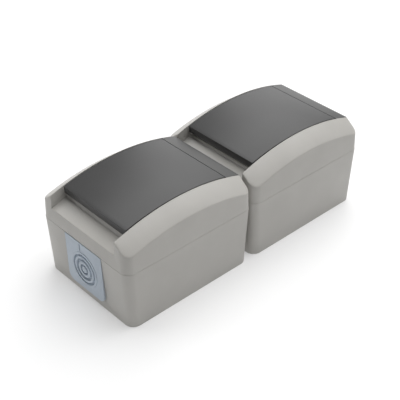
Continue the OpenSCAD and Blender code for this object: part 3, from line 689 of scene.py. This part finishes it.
# %% The hinge strip
strip_hw = bay_hw - 0.1
strip_front = hinge_y + swing_r - 0.4
strip_wall = 2
swing_gap = 0.25
strip = block("strip", (-strip_hw, strip_front, trough_z), (strip_hw, cover_hl + 1, crown_h))
arch(strip, trough_z + 1)
slice_at(strip, (0, cover_hl - 0.03, base_h), (0, 1, math.tan(cover_end_draft)), cut_away=True)
leave()
inner_hw = strip_hw - strip_wall
inner_low = (-inner_hw, strip_front + 3.2, trough_z - beyond)
hollow = block("strip hollow", inner_low, (inner_hw, cover_hl - 2.4, crown_h - strip_wall))
arch(hollow, trough_z + 1)
cut(strip, hollow)
cut(strip, on_hinge("swing room", swing_r + swing_gap, -across_all, across_all, sides=160))
tidy(strip)
soften(strip, width=0.2)
report(strip)

# %% Setting the copies down
def pair(piece, name):
    """Turns one module's piece into the two that sit on the object."""
    take(piece)
    bpy.ops.object.duplicate()
    second = settle(name + "_2")
    piece.name = name + "_1"
    set_down(piece, module_y)
    set_down(second, -module_y)
    return piece, second


covers = pair(cover, "cover_shell")
lids = pair(lid, "lid_panel")
strips = pair(strip, "hinge_strip")
print([piece.name for piece in covers + lids + strips])

# %% [markdown]
# ## Cable entries
# The entry is a soft plate that slides into the slot in the end wall. It has a thin flange outside, a
# neck that fills the slot and a second flange inside, and its face leans a little less than the wall. Its
# middle is a thin skin with stepped rings, so that the fitter cuts away just as many as the cable needs.
# Insets and short extrusions in turn make the rings out of a single round face. The plate is modelled
# upright and then leaned back by the draft of the wall.


# %% The plate
lean = math.radians(1.9)
plate_corner = 4
opening_r = 9.5
rings_r = 9.6
ring_depth = 1.25
ring_z = 18 - base_h


def entry_plate(name, ringed, end):
    """The soft plate on one end, -1 or 1."""
    plate = block(name, (-entry_hw, -3, entry_low - base_h), (entry_hw, wall + 1.3, 2))
    pick(plate, "EDGE", lambda edge: runs_along(edge, 1) and middle_of(edge).z < -5)
    round_off(plate_corner, 8)
    slice_at(plate, (0, -0.15, 0), (0, -1, math.tan(lean)), cut_away=True)
    leave()
    neck_w = entry_hw - entry_lip - 0.1
    groove = block("groove", (-20, 0, -40), (20, wall + 0.1, 5))
    neck = block("neck", (-neck_w, -5, entry_low + entry_lip + 0.1 - base_h), (neck_w, 9, 10))
    pick(neck, "EDGE", lambda edge: runs_along(edge, 1) and middle_of(edge).z < -5)
    round_off(slot_corner, 6)
    leave()
    cut(groove, neck)
    cut(plate, groove)
    if ringed:
        cut(plate, lengthwise("opening", opening_r, ring_z, -5, 9))
        join(plate, stepped_rings())
        cut(plate, block("mark", (-2.9, -2, -5.2), (-2.3, 0.5, -0.9)))
    else:
        cut(plate, lengthwise("thin middle", opening_r, ring_z, 0.8, 9))
    plate.rotation_euler = (base_end_draft, 0, 0)
    plate.location = (0, -base_hl * MM, base_h * MM)
    take(plate)
    bpy.ops.object.transform_apply(location=True, rotation=True, scale=True)
    slice_at(plate, (0, 0, base_h - 0.05), (0, 0, 1), cut_away=True)
    tidy(plate)
    soften(plate, width=0.12)
    if end > 0:
        plate.rotation_euler = (0, 0, math.pi)
        bpy.ops.object.transform_apply(location=True, rotation=True, scale=True)
    set_down(plate, end * abs(module_y))
    report(plate)
    return plate


def stepped_rings():
    """Three ridges round a middle disc, out of one round face."""
    rings = lengthwise("rings", rings_r, ring_z, 1.2, -0.5, sides=128)
    pick(rings, "FACE", lambda face: face.normal.y < -0.9)
    for ridge, groove in ((1.2, 1.2), (1.2, 1.5), (1.5, 1.3)):
        bpy.ops.mesh.inset(thickness=ridge * MM)
        bpy.ops.mesh.extrude_region_move()
        move(y=ring_depth)
        bpy.ops.mesh.inset(thickness=groove * MM)
        bpy.ops.mesh.extrude_region_move()
        move(y=-ring_depth)
    leave()
    rings.rotation_euler = (-lean, 0, 0)
    take(rings)
    bpy.ops.object.transform_apply(location=True, rotation=True, scale=True)
    return rings


ringed_entry = entry_plate("ringed_entry", True, -1)
plain_entry = entry_plate("plain_entry", False, 1)

# %% [markdown]
# ## Finishes
# The housing is a light grey moulding from a spark-eroded mould: quite matt, with a fine, even grain and
# a faint cloudiness in its colour. The lids and strips are a darker, slightly silkier plastic; the strips'
# copy of it is painted a little lighter, as painted light on their flatter tops. The cable entries are a
# soft, blue-grey rubber-like plastic with a powdery surface. One recipe makes all of them: two noises on
# Object coordinates, a broad one that shifts the colour a little and a fine one that drives a bump and the
# roughness.


# %% A recipe for moulded plastics
def moulded_finish(name, colour, roughness, grain, grain_depth, cloudiness=0.03, specular=0.5):
    """A plastic of this linear colour. grain is its size and grain_depth its height, in millimetres."""
    finish = bpy.data.materials.new(name)
    finish.use_nodes = True
    nodes, wires = finish.node_tree.nodes, finish.node_tree.links
    shader = nodes["Principled BSDF"]
    shader.inputs["Specular IOR Level"].default_value = specular
    place = nodes.new("ShaderNodeTexCoord")

    cloud = nodes.new("ShaderNodeTexNoise")
    cloud.inputs["Scale"].default_value = 1 / (14 * MM)
    cloud.inputs["Detail"].default_value = 4
    shades = nodes.new("ShaderNodeValToRGB")
    for stop, factor in zip(shades.color_ramp.elements, (1 - cloudiness, 1 + cloudiness)):
        stop.color = (*[min(1, c * factor) for c in colour], 1)
    shades.color_ramp.elements[0].position = 0.3
    shades.color_ramp.elements[1].position = 0.7
    wires.new(place.outputs["Object"], cloud.inputs["Vector"])
    wires.new(cloud.outputs["Fac"], shades.inputs["Fac"])
    wires.new(shades.outputs["Color"], shader.inputs["Base Color"])

    fine = nodes.new("ShaderNodeTexNoise")
    fine.inputs["Scale"].default_value = 1 / (grain * MM)
    fine.inputs["Detail"].default_value = 3
    dull = nodes.new("ShaderNodeMapRange")
    dull.inputs["To Min"].default_value = roughness - 0.05
    dull.inputs["To Max"].default_value = roughness + 0.05
    bump = nodes.new("ShaderNodeBump")
    bump.inputs["Distance"].default_value = grain_depth * MM
    bump.inputs["Strength"].default_value = 0.6
    wires.new(place.outputs["Object"], fine.inputs["Vector"])
    wires.new(fine.outputs["Fac"], dull.inputs["Value"])
    wires.new(dull.outputs["Result"], shader.inputs["Roughness"])
    wires.new(fine.outputs["Fac"], bump.inputs["Height"])
    wires.new(bump.outputs["Normal"], shader.inputs["Normal"])
    return finish


grey_moulding = moulded_finish("light grey moulding", (0.462, 0.45, 0.424), 0.42, 0.45, 0.03)
lid_moulding = moulded_finish("dark grey lid moulding", (0.058, 0.058, 0.058), 0.42, 0.4, 0.02, 0.03, 0.35)
# The strips are the lids' plastic. This copy is a little lighter: painted light for the extra light on their
# flatter tops.
strip_moulding_painted_light = moulded_finish("dark grey lid moulding painted lighter for the strips", (0.066, 0.066, 0.065), 0.42, 0.4, 0.02, 0.03, 0.35)
entry_moulding = moulded_finish("blue-grey soft moulding", (0.5, 0.56, 0.63), 0.65, 0.3, 0.02, 0.04, 0.35)
well_moulding = moulded_finish("satin grey moulding", (0.45, 0.44, 0.42), 0.4, 0.4, 0.015)
black_seal = moulded_finish("black seal rubber", (0.02, 0.02, 0.021), 0.75, 0.25, 0.02, 0.15, 0.3)
thermoset = moulded_finish("white thermoset", (0.68, 0.68, 0.63), 0.45, 0.6, 0.01, 0.04)
brown_wire = moulded_finish("brown insulation", (0.15, 0.06, 0.03), 0.35, 0.5, 0.005)
blue_wire = moulded_finish("blue insulation", (0.03, 0.12, 0.4), 0.35, 0.5, 0.005)

# %% [markdown]
# The earth wire is green with a yellow stripe. A stripe that winds round a crooked wire would need its
# own coordinates. Bands across the wire, from a wave on Object coordinates, read the same at this size.
# The metals get a stretched noise instead of a fine grain: drawn wire and rolled strip both show faint
# lines along their length.


# %% Striped wire and metals
def earth_finish():
    """Green insulation with yellow bands."""
    finish = moulded_finish("green and yellow insulation", (0.1, 0.3, 0.04), 0.35, 0.5, 0.005)
    nodes, wires = finish.node_tree.nodes, finish.node_tree.links
    place = nodes["Texture Coordinate"]
    bands = nodes.new("ShaderNodeTexWave")
    bands.bands_direction = "DIAGONAL"
    bands.inputs["Scale"].default_value = 60
    bands.inputs["Distortion"].default_value = 0.4
    choice = nodes.new("ShaderNodeValToRGB")
    choice.color_ramp.interpolation = "CONSTANT"
    choice.color_ramp.elements[0].color = (0.1, 0.3, 0.04, 1)
    choice.color_ramp.elements[1].color = (0.75, 0.6, 0.05, 1)
    choice.color_ramp.elements[1].position = 0.6
    wires.new(place.outputs["Object"], bands.inputs["Vector"])
    wires.new(bands.outputs["Fac"], choice.inputs["Fac"])
    wires.new(choice.outputs["Color"], nodes["Principled BSDF"].inputs["Base Color"])
    return finish


def metal_finish(name, colour, roughness):
    """A metal with faint drawing lines across X and a little tarnish."""
    finish = moulded_finish(name, colour, roughness, 0.4, 0.004, 0.08)
    nodes, wires = finish.node_tree.nodes, finish.node_tree.links
    nodes["Principled BSDF"].inputs["Metallic"].default_value = 1
    stretch = nodes.new("ShaderNodeMapping")
    stretch.inputs["Scale"].default_value = (0.08, 1, 1)
    fine = [node for node in nodes if node.type == "TEX_NOISE"][1]
    wires.new(nodes["Texture Coordinate"].outputs["Object"], stretch.inputs["Vector"])
    wires.new(stretch.outputs["Vector"], fine.inputs["Vector"])
    return finish


earth_wire = earth_finish()
zinc_steel = metal_finish("zinc-plated steel", (0.6, 0.61, 0.63), 0.3)
brass_strip = metal_finish("brass strip", (0.72, 0.52, 0.22), 0.28)

# %% [markdown]
# ## Putting finishes on
# The new pieces take their finish. The parts inside keep the engineering model's shape, because it is right for
# them, and only get a better surface.


# %% New pieces
def dress(piece, finish, slot_name, body, *nodes):
    """Gives a new piece its finish and the body it rides on, and hides the engineering parts it stands for.
    slot_name is not used.
    """
    piece.data.materials.clear()
    piece.data.materials.append(finish)
    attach(piece, body)
    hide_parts(*nodes)


for number in (1, 2):
    dress(covers[number - 1], grey_moulding, "housing", "housing", f"cover_{number}")
    dress(lids[number - 1], lid_moulding, "lid", f"lid_{number}", f"lid_{number}")
    dress(strips[number - 1], strip_moulding_painted_light, "cap", "housing", f"hinge_cap_{number}")
dress(base_shell_1, grey_moulding, "housing", "housing", "base_box_1")
dress(base_shell_2, grey_moulding, "housing", "housing", "base_box_2")
dress(ringed_entry, entry_moulding, "entry", "housing", "cable_entry")
dress(plain_entry, entry_moulding, "entry", "housing", "blank_entry")

# %% Parts that keep their shape
finish_of_slot = {
    "housing": grey_moulding,
    "well": well_moulding,
    "rubber": black_seal,
    "steel": zinc_steel,
    "brass": brass_strip,
    "insulator": thermoset,
    "line_wire": brown_wire,
    "neutral_wire": blue_wire,
    "earth_wire": earth_wire,
}
kept = 0
for part in frame["record"]["subparts"]:
    finish = finish_of_slot.get(part["material_slot"])
    if finish and not part["node"].startswith(("cover_1", "cover_2", "base_box")):
        node = frame["nodes"][part["node"]]
        for place in node.material_slots:
            place.material = finish
        kept += 1
print(kept, "engineering parts keep their shape")
